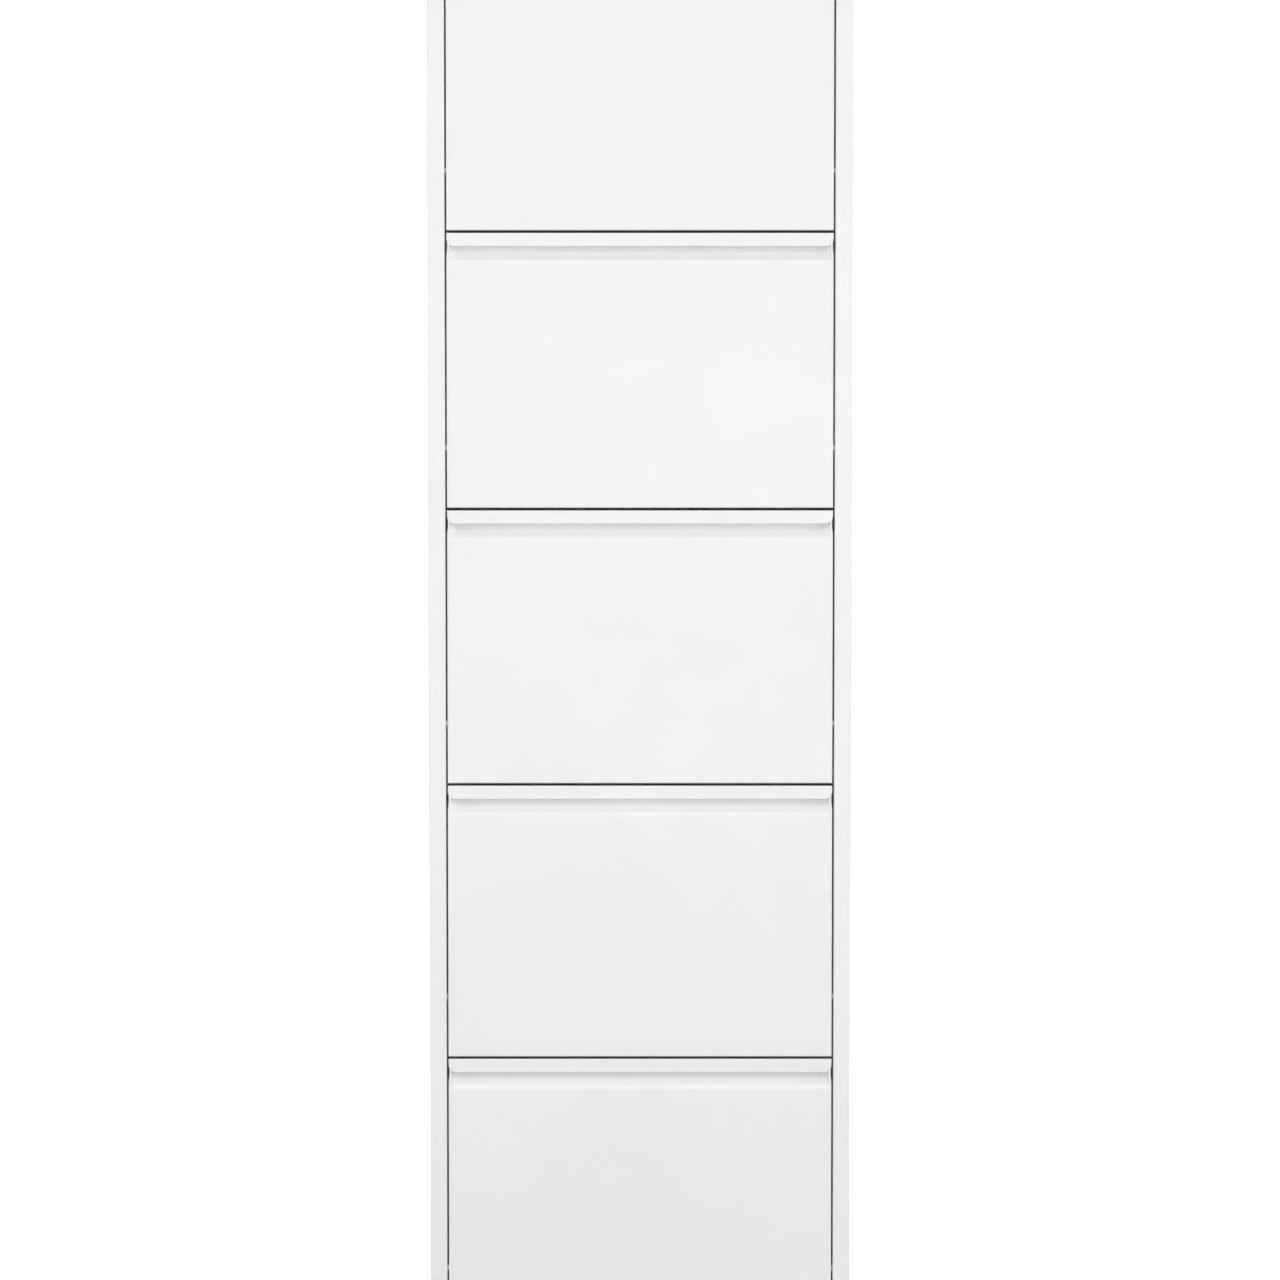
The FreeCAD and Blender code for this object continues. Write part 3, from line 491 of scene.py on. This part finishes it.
class FrontShape:
    """The two skins of a flap front, column by column."""

    def __init__(self, half, height):
        self.half = half
        self.height = height
        self.bend_start = half - BEND
        path = [(0, height - PRESS_DROP, 0), (0, height - ROLL_DROP, ROLL)]
        path += [(GRIP_DEPTH, height - COVE_DROP, COVE), (GRIP_DEPTH, height - LIP, 0)]
        self.press = rounded(path, PRESS_STEPS)
        self.press_back = beside(self.press, SHEET)
        self.levels = [BEND + row for row in FIRST_ROWS]
        start = FIRST_ROWS[-1]
        span = height - FACE_ROWS_DROP - BEND - start
        self.levels += [BEND + start + span * step / FACE_ROWS for step in range(1, FACE_ROWS + 1)]

    def columns(self):
        """(across, bend angle, flange share) from the middle out to the side flange's rear edge."""
        grip = self.half - GRIP_MARGIN
        flat = [*FACE_COLUMNS] + [grip - inset for inset in GRIP_COLUMNS]
        flat += [grip + BEYOND_GRIP, self.bend_start - BEFORE_BEND]
        made = [(across, 0.0, 0.0) for across in flat]
        made += [(None, math.radians(angle), 0.0) for angle in SIDE_ANGLES]
        made += [(None, math.pi / 2, share) for share in FLANGE_STEPS[1:]]
        return made

    def skins(self, column):
        """Both skins' (across, depth, height) points in a column, and where the side flange's rows are."""
        across, angle, share = column
        inner_across = across
        if across is None:
            across = self.bend_start + BEND * math.sin(angle)
            inner_across = self.bend_start + (BEND - SHEET) * math.sin(angle)
        lift = BEND * (1 - math.cos(angle))
        inner_lift = (BEND - SHEET) * (1 - math.cos(angle))
        inset = self.half - GRIP_MARGIN - across
        outer, spans = self.outer(inset, lift)
        inner, inner_spans, crown = self.inner(inset, inner_lift)
        if share:
            outer = [self.swept(point, share) for point in outer[spans[0] : spans[1]]]
            inner = [self.swept(point, share) for point in inner[inner_spans[0] : inner_spans[1]]]
            crown = 0
        outer = [(across, depth, up) for depth, up in outer]
        places = [across] * crown + [inner_across] * (len(inner) - crown)
        inner = [(place, depth, up) for place, (depth, up) in zip(places, inner)]
        return outer, inner, spans, inner_spans

    def rear(self, up):
        """How far back the side flange reaches at a height."""
        wall = GRIP_DEPTH + SHEET
        return min(FLANGE_DEPTH, max(wall, FLANGE_DEPTH - (up - self.height + SHOULDER)))

    def swept(self, point, share):
        """A point moved back by its share of the way to the side flange's rear edge."""
        depth, up = point
        return Vector((depth + (self.rear(up) - depth) * share, up))

    def outer(self, inset, lift):
        """The skin from the bottom flange over the face, grip, lip's inside and lip to the top."""
        height = self.height
        limit = end_depth(inset, GRIP_DEPTH)
        start = stacked(BEND, lift)
        steps = reversed(FLANGE_STEPS[1:])
        points = [Vector((start + (FLANGE_DEPTH - start) * share, 0)) for share in steps]
        low = len(points)
        bottom = quarter((0, 0), (-1, 0), (0, 1), BEND, OUTER_STEPS)
        points += [Vector((stacked(depth, lift), up)) for depth, up in bottom]
        points += [Vector((lift, level)) for level in self.levels]
        points += [Vector((stacked(soft_min(depth, limit), lift), up)) for depth, up in self.press]

        wall = soft_min(GRIP_DEPTH, limit)
        cut = min(max(inset, 0), LIP_CORNER)
        foot = height - LIP + LIP_CORNER - math.sqrt(LIP_CORNER**2 - (LIP_CORNER - cut) ** 2)
        ceiling = foot + (height - SHEET - foot) * eased((wall - LIP_THICKNESS - CEILING_START) / EASE)
        back = min(LIP_THICKNESS, wall)
        fold = min(LIP_FOLD, (wall - back) / 2, (ceiling - foot) / 3)
        hem = min(HEM, back / 2)
        mouth = height - LIP
        inside = [Vector((wall, mouth + (ceiling - fold - mouth) * share)) for share in MOUTH_ROWS]
        inside += quarter((wall, ceiling), (0, 1), (-1, 0), fold)
        inside += [Vector(((wall + back) / 2, ceiling))]
        inside += quarter((back, ceiling), (-1, 0), (0, -1), fold)
        inside += [Vector((back, foot + (ceiling - foot) * share)) for share in LIP_BACK_ROWS]
        inside += quarter((back, foot), (0, -1), (-1, 0), hem)
        inside += quarter((0, foot), (-1, 0), (0, 1), hem)
        points += [Vector((stacked(depth, lift), up)) for depth, up in inside]

        first = foot + hem
        last = height - BEND
        points += [Vector((lift, first + (last - first) * share)) for share in LIP_ROWS]
        top = quarter((0, height), (0, 1), (1, 0), BEND, OUTER_STEPS)
        points += [Vector((stacked(depth, lift), up)) for depth, up in top]
        high = len(points)
        rear = GRIP_DEPTH + SHEET - self.crown(inset)
        points += [Vector((start + (rear - start) * share, height)) for share in FLANGE_STEPS[1:]]
        return points, (low, high)

    def crown(self, inset):
        """The radius where the top turns down into the grip's wall: none beyond the grip's ends."""
        return BEND * eased((self.wall_back(inset) - CROWN_START) / EASE)

    def limit_back(self, inset):
        """How deep the grip may go, measured on the sheet's other side and less the sheet."""
        return max(end_depth(inset + SHEET, GRIP_DEPTH + SHEET) - SHEET, 0)

    def wall_back(self, inset):
        """The depth of the other side of the grip's wall."""
        return SHEET + soft_min(GRIP_DEPTH, self.limit_back(inset))

    def inner(self, inset, lift):
        """The sheet's other side, from the top's rear edge down to the bottom flange's."""
        height = self.height
        rear = GRIP_DEPTH + SHEET
        crown = self.crown(inset)
        edge = max(crown, SHEET)
        limit = self.limit_back(inset)
        wall = SHEET + stacked(self.wall_back(inset) - SHEET, lift)
        points = quarter((rear, height), (1, 0), (0, -1), crown, INNER_STEPS)
        points += [Vector((rear, height - edge))]
        turn = len(points) - 1
        points += [
            Vector((wall + (rear - wall) * share, height - edge)) for share in reversed(FLANGE_STEPS[:-1])
        ]
        high = len(points) - 1
        points += [Vector((wall, height - edge + (edge - LIP + WALL_END) * share)) for share in WALL_ROWS]
        for depth, up in reversed(self.press_back):
            pressed = soft_min(depth - SHEET, limit)
            points.append(Vector((SHEET + stacked(pressed, lift), up)))
        points += [Vector((SHEET + lift, level)) for level in reversed(self.levels)]
        fold = quarter((0, 0), (0, -1), (1, 0), BEND - SHEET, INNER_STEPS)
        points += [Vector((SHEET + stacked(depth, lift), SHEET + up)) for depth, up in fold]
        low = len(points)
        start = SHEET + stacked(BEND - SHEET, lift)
        points += [Vector((start + (FLANGE_DEPTH - start) * share, SHEET)) for share in FLANGE_STEPS[1:]]
        return points, (high, low), turn


def flap_front(name, node):
    """A front: face, flanges and a full-width grip with closed, rounded ends, all in one sheet."""
    low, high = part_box(node)
    shape = FrontShape((high.x - low.x) / 2 / MM, (high.z - low.z) / MM)
    columns = shape.columns()
    plain = sum(share == 0 for _, _, share in columns)
    skins = [shape.skins(column) for column in columns]
    spans = skins[0][2:]
    mesh = bmesh.new()

    def chain(points, side):
        places = [(side * across * MM, FRONT + depth * MM, low.z + up * MM) for across, depth, up in points]
        return [mesh.verts.new(place) for place in places]

    for side in (-1, 1):
        pairs = [(chain(outer, side), chain(inner, side)) for outer, inner, *_ in skins]
        for skin, (start, end) in enumerate(spans):
            chains = [pair[skin] for pair in pairs]
            grid_faces(mesh, chains[:plain])
            grid_faces(mesh, [chains[plain - 1][start:end]] + chains[plain:])
        outer_end, inner_end = pairs[-1]
        zipped(mesh, outer_end, list(reversed(inner_end)))
        grid_faces(mesh, [[outer[0], inner[-1]] for outer, inner in pairs[:plain]])
    return to_object(mesh, name, "white_powder_coat"), shape


def notch_cutters(shape, base):
    """Cutters for the reliefs beside the grip."""
    made = []
    for side in (-1, 1):
        outline = [(side * (shape.half + 1) * MM, base + (shape.height - NOTCH[0][1]) * MM)]
        outline += [
            (side * (shape.half - inward) * MM, base + (shape.height - drop) * MM) for inward, drop in NOTCH
        ]
        outline.append((side * (shape.half + 1) * MM, base + (shape.height - NOTCH[-1][1]) * MM))
        made.append(extruded("notch", outline, FRONT - MM, FRONT + NOTCH_REACH * MM, 1))
    return made


def make_fronts():
    """One front, carved once and copied to every flap."""
    master = None
    for flap in FLAPS:
        node = f"{flap}_front"
        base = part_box(node)[0].z
        name = f"{flap}_face"
        if master is None:
            master, shape = flap_front(name, node)
            carved(master, notch_cutters(shape, base))
            first_base = base
            made = master
        else:
            data = master.data.copy()
            data.transform(Matrix.Translation((0, 0, base - first_base)))
            made = bpy.data.objects.new(name, data)
            bpy.context.scene.collection.objects.link(made)
        stand_for(evened(made), node)


make_fronts()


# --- bins --------------------------------------------------------------------------------------------------
# In millimetres, as the fronts are.

BIN_FLOOR = 102.0
BIN_BEND = 12.0
BIN_RIM = 6.0
BIN_STEPS = 16


def make_bins():
    """Folded bins: a floor, a leaning rear wall and a rim, with the sheet's thickness all round."""
    for flap in FLAPS:
        node = f"{flap}_bin"
        low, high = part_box(node)
        base = low.z / MM - SHEET
        rim = (high.y - FRONT) / MM
        top = high.z / MM - SHEET
        corners = [
            (BEND, base + SHEET, 0),
            (BIN_FLOOR, base + SHEET, BIN_BEND),
            (rim - BIN_RIM, top, BEND - SHEET),
            (rim, top, 0),
        ]
        under = rounded(corners, BIN_STEPS)
        over = beside(under, -SHEET)
        loop = under + list(reversed(over))
        outline = [(FRONT + depth * MM, up * MM) for depth, up in loop]
        made = extruded(f"{flap}_tray", outline, low.x, high.x, 0)
        stand_for(soften(made, CUT_EDGE), node)


make_bins()


# --- back --------------------------------------------------------------------------------------------------

CARCASS_SHEET = 1.0 * MM
RIB_HALF_LENGTH = 200.0 * MM
RIB_HALF_WIDTH = 9.0 * MM
RIB_SLOPE = 3.5 * MM
RIB_STEP = 0.9 * MM
PLAIN_STEP = 80.0 * MM
NARROW = 2.1 * RIB_HALF_WIDTH
DRILL_REACH_MM = 5
DRILL_STEPS = 48
WALL_HOLES = next(mount for mount in RECORD["mounts"] if mount["name"] == "wall_fixing")


def spaced(stops):
    """Places from stop to stop, close together where the stops are a rib's width apart."""
    places = [stops[0]]
    for start, end in zip(stops, stops[1:]):
        step = RIB_STEP if end - start < NARROW else PLAIN_STEP
        parts = math.ceil((end - start) / step)
        places += [start + (end - start) * part / parts for part in range(1, parts + 1)]
    return places


def wall_drills(face):
    """Cutters for the two wall holes, in a sheet whose front is at that depth."""
    reach, radius = DRILL_REACH_MM, WALL_HOLES["dims"]["hole_r_mm"]
    profile = [(-reach, 0), (-reach, radius), (reach, radius), (reach, 0)]
    through = Matrix.Rotation(math.pi / 2, 4, "Z")
    made = []
    for side in (-1, 1):
        drill = lathed("drill", profile, "white_powder_coat", DRILL_STEPS)
        x = side * WALL_HOLES["dims"]["spacing_x_mm"] / 2 * MM
        drill.matrix_world = Matrix.Translation((x, face, WALL_HOLES["pos_m"][2])) @ through
        made.append(drill)
    return made


def make_back():
    """The rear sheet, with smoothly pressed ribs and the two wall holes."""
    low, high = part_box("back_panel")
    rise = high.y - low.y - CARCASS_SHEET
    middles = [sum(corner.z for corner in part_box(f"{flap}_front")) / 2 for flap in reversed(FLAPS)]
    reach, half = RIB_HALF_LENGTH, RIB_HALF_WIDTH
    across = spaced([low.x, -reach, 2 * half - reach, reach - 2 * half, reach, high.x])
    stops = [low.z]
    for middle in middles:
        stops += [middle - half, middle + half]
    up = spaced(stops + [high.z])

    def raised(x, z):
        beyond = max(abs(x) - (reach - half), 0)
        inset = max(half - math.hypot(beyond, z - middle) for middle in middles)
        return rise * eased(inset / RIB_SLOPE)

    mesh = bmesh.new()
    skins = []
    for face in (low.y, low.y + CARCASS_SHEET):
        rows = [[mesh.verts.new((x, face + raised(x, z), z)) for x in across] for z in up]
        grid_faces(mesh, rows)
        skins.append(rows)
    front, rear = skins
    grid_faces(mesh, [front[0], rear[0]])
    grid_faces(mesh, [front[-1], rear[-1]])
    for column in (0, -1):
        grid_faces(mesh, [[row[column] for row in front], [row[column] for row in rear]])
    made = to_object(mesh, "back_sheet", "white_powder_coat")
    stand_for(evened(carved(made, wall_drills(low.y))), "back_panel")


make_back()


# --- hardware ----------------------------------------------------------------------------------------------
# Profiles are (along, radius, rounding) in millimetres, turned about the axis they lie along.

PIN_LENGTH = 15
PIN = [(0, 0, 0), (0, 3.6, 0.7), (1.2, 3.6, 0.1), (1.2, 2, 0), (3, 2, 0), (3, 3.2, 0.15), (3.9, 3.2, 0.15)]
PIN += [(3.9, 2, 0), (PIN_LENGTH, 2, 0.5), (PIN_LENGTH, 0, 0)]
BUSH = [(2, 2.05, 0), (0, 2.05, 0.2), (0, 3.8, 0.3), (1, 3.8, 0.2), (1, 2.95, 0), (2.05, 2.95, 0)]
BUSH += [(2.05, 3.25, 0.15), (4, 2.55, 0.2), (4, 2.05, 0.1), (2, 2.05, 0)]
STUD = [(0, 0, 0), (0, 3.6, 0.5), (1.2, 3.6, 0.15), (1.2, 2.5, 0), (25.8, 2.5, 0), (25.8, 5, 0.25)]
STUD += [(26.8, 5, 0), (26.8, 0, 0)]
SLEEVE = [(3.5, 2.55, 0), (0, 2.55, 0.3), (0, 4.5, 0.5), (7, 4.5, 0.5), (7, 2.55, 0.3), (3.5, 2.55, 0)]
SCREW = [(0, 0, 0), (0, 3.8, 1.3), (2, 3.8, 0.1), (2, 1.95, 0), (8, 1.95, 0), (10, 0, 0)]
SCREW_TURN = 2.4
CROSS_HALF_LENGTH, CROSS_HALF_WIDTH, CROSS_DEPTH = 2.0 * MM, 0.45 * MM, 1.1 * MM
FOOT = [(0.3, 0, 0), (0.3, 8.5, 0.5), (0, 9.5, 0.3), (0, 12, 1.0), (5, 12, 0.3), (5, 4, 0), (12, 4, 0.8)]
FOOT += [(12, 0, 0)]
PROFILE_STEPS, SCREW_STEPS, FOOT_STEPS = 5, 7, 56
SIDES = {"left": -1, "right": 1}


def facing_side(side, start, place):
    """A matrix that points a turned part outwards to one side, from that far off the middle."""
    turn = Matrix.Rotation(0 if side > 0 else math.pi, 4, "Z")
    return Matrix.Translation((side * start, place.y, place.z)) @ turn


def make_pins():
    """Stepped pins with domed rivet heads inside the wings."""
    for flap, pivot in PIVOTS.items():
        node = f"{flap}_pivot_pins"
        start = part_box(node)[1].x - PIN_LENGTH * MM
        matrices = [facing_side(side, start, pivot) for side in SIDES.values()]
        pin = lathed("pin", rounded(PIN, PROFILE_STEPS), SLOT_OF[node])
        stand_for(spread(f"{flap}_pins", SLOT_OF[node], pin, matrices), node)


def make_side_hardware():
    """Bushes, studs and sleeves: one of each for each flap and side."""
    for kind, profile in (("pivot_bushes", BUSH), ("guide_studs", STUD), ("guide_sleeves", SLEEVE)):
        for name, side in SIDES.items():
            node = f"{kind}_{name}"
            matrices = []
            for low, high in solids_of(node, axes=(2,)):
                start = min(abs(low.x), abs(high.x))
                matrices.append(facing_side(side, start, (low + high) / 2))
            part = lathed(kind, rounded(profile, PROFILE_STEPS), SLOT_OF[node])
            stand_for(spread(f"{node}_turned", SLOT_OF[node], part, matrices), node)


def make_screws():
    """Pan-head screws with a cross recess, each left at a turn of its own."""
    slot = SLOT_OF["back_screws"]
    screw = lathed("screw", rounded(SCREW, SCREW_STEPS), slot)
    cutters = []
    for across, up in ((CROSS_HALF_LENGTH, CROSS_HALF_WIDTH), (CROSS_HALF_WIDTH, CROSS_HALF_LENGTH)):
        outline = [(-across, -up), (across, -up), (across, up), (-across, up)]
        cutters.append(extruded("cross", outline, -MM, CROSS_DEPTH, 0))
    carved(screw, cutters)
    inward = Matrix.Rotation(-math.pi / 2, 4, "Z")
    matrices = []
    for number, (low, high) in enumerate(solids_of("back_screws")):
        middle = (low + high) / 2
        turn = Matrix.Rotation(number * SCREW_TURN, 4, "X")
        matrices.append(Matrix.Translation((middle.x, high.y, middle.z)) @ inward @ turn)
    stand_for(spread("screws", slot, screw, matrices), "back_screws")


def make_feet():
    """Glides with a slightly dished sole and a stem."""
    slot = SLOT_OF["feet"]
    upright = Matrix.Rotation(-math.pi / 2, 4, "Y")
    matrices = []
    for low, high in solids_of("feet"):
        middle = (low + high) / 2
        matrices.append(Matrix.Translation((middle.x, middle.y, 0)) @ upright)
    foot = lathed("foot", rounded(FOOT, PROFILE_STEPS), slot, FOOT_STEPS)
    stand_for(spread("glides", slot, foot, matrices), "feet")


make_pins()
make_side_hardware()
make_screws()
make_feet()


# --- carried-over CAD nodes --------------------------------------------------------------------------------

for name, node in frame["nodes"].items():
    node.data.materials.clear()
    node.data.materials.append(MATERIALS[SLOT_OF[name]])
    if name not in REPLACED:
        soften(node, CUT_EDGE)


# --- stage -------------------------------------------------------------------------------------------------

CAMERA_DISTANCE = 4.0
CAMERA_PITCH = math.radians(2.8)
AIM_HEIGHT = 0.851
LENS, SENSOR = 95.2, 36
WORLD_SEEN, WORLD_LIGHT = 1.05, 0.24
FLOOR_REACH, FLOOR_GLOW = 30.0, 0.8
# Each lamp: where it is, where it points, its size and its power in watts.
SOFTBOXES = {
    "key": ((0.4, -6.2, 6.6), (0, FRONT, 0.8), (3.0, 3.0), 203),
    "fill": ((0.2, -5.0, 0.9), (0, FRONT, 0.9), (2.4, 1.6), 84),
    "left": ((-3.6, -1.5, 1.3), (0, 0, 1.0), (1.6, 2.4), 47),
    "right": ((3.6, -1.5, 1.3), (0, 0, 1.0), (1.6, 2.4), 50),
    "left_edge": ((-3.2, 1.2, 1.0), (LOW.x, 0, 0.9), (1.2, 2.4), 18),
    "right_edge": ((3.2, 1.2, 1.0), (HIGH.x, 0, 0.9), (1.2, 2.4), 18),
    "rear": ((-0.8, 4.6, 1.7), (0, 0, 0.9), (2.4, 2.0), 120),
    "above": ((0, 0.4, 4.2), (0, 0, 1.7), (1.6, 1.6), 30),
}


def make_camera():
    """The photograph's view: a long lens before the front, tipped slightly down."""
    data = bpy.data.cameras.new("camera")
    data.sensor_width = SENSOR
    data.lens = LENS
    camera = bpy.data.objects.new("camera", data)
    bpy.context.scene.collection.objects.link(camera)
    camera.location = (0, FRONT - CAMERA_DISTANCE, AIM_HEIGHT + CAMERA_DISTANCE * math.tan(CAMERA_PITCH))
    camera.rotation_euler = (math.pi / 2 - CAMERA_PITCH, 0, 0)
    bpy.context.scene.camera = camera


def softbox(name, place, target, size, power):
    """A soft lamp that the camera doesn't see."""
    data = bpy.data.lights.new(name, "AREA")
    data.shape = "RECTANGLE"
    data.size, data.size_y = size
    data.energy = power
    lamp = bpy.data.objects.new(name, data)
    lamp.location = place
    lamp.rotation_euler = (Vector(target) - Vector(place)).to_track_quat("-Z", "Y").to_euler()
    lamp.visible_camera = False
    bpy.context.scene.collection.objects.link(lamp)


def make_floor():
    """A plain white floor that runs out of sight and glows a little, as a lit studio sweep does."""
    mesh = bpy.data.meshes.new("floor")
    corners = [(x * FLOOR_REACH, y * FLOOR_REACH, 0) for x, y in ((-1, -1), (1, -1), (1, 1), (-1, 1))]
    mesh.from_pydata(corners, [], [(0, 1, 2, 3)])
    white = Shading("pale_floor", Base_Color=(0.8, 0.8, 0.8, 1), Roughness=0.9, Emission_Strength=FLOOR_GLOW)
    white.shader.inputs["Emission Color"].default_value = (1, 1, 1, 1)
    mesh.materials.append(white.material)
    floor = bpy.data.objects.new("floor", mesh)
    floor.visible_diffuse = False
    floor.visible_glossy = False
    bpy.context.scene.collection.objects.link(floor)


def make_world():
    """White all round: full white to the eye, and dimmer as a light."""
    world = bpy.data.worlds.new("world")
    world.use_nodes = True
    nodes, links = world.node_tree.nodes, world.node_tree.links
    background = nodes["Background"]
    background.inputs["Color"].default_value = (1, 1, 1, 1)
    seen = nodes.new("ShaderNodeLightPath").outputs["Is Camera Ray"]
    strength = nodes.new("ShaderNodeMapRange")
    strength.inputs["To Min"].default_value = WORLD_LIGHT
    strength.inputs["To Max"].default_value = WORLD_SEEN
    links.new(seen, strength.inputs["Value"])
    links.new(strength.outputs["Result"], background.inputs["Strength"])
    bpy.context.scene.world = world
    bpy.context.scene.view_settings.view_transform = "Standard"


make_camera()
make_floor()
make_world()
for lamp_name, settings in SOFTBOXES.items():
    softbox(lamp_name, *settings)
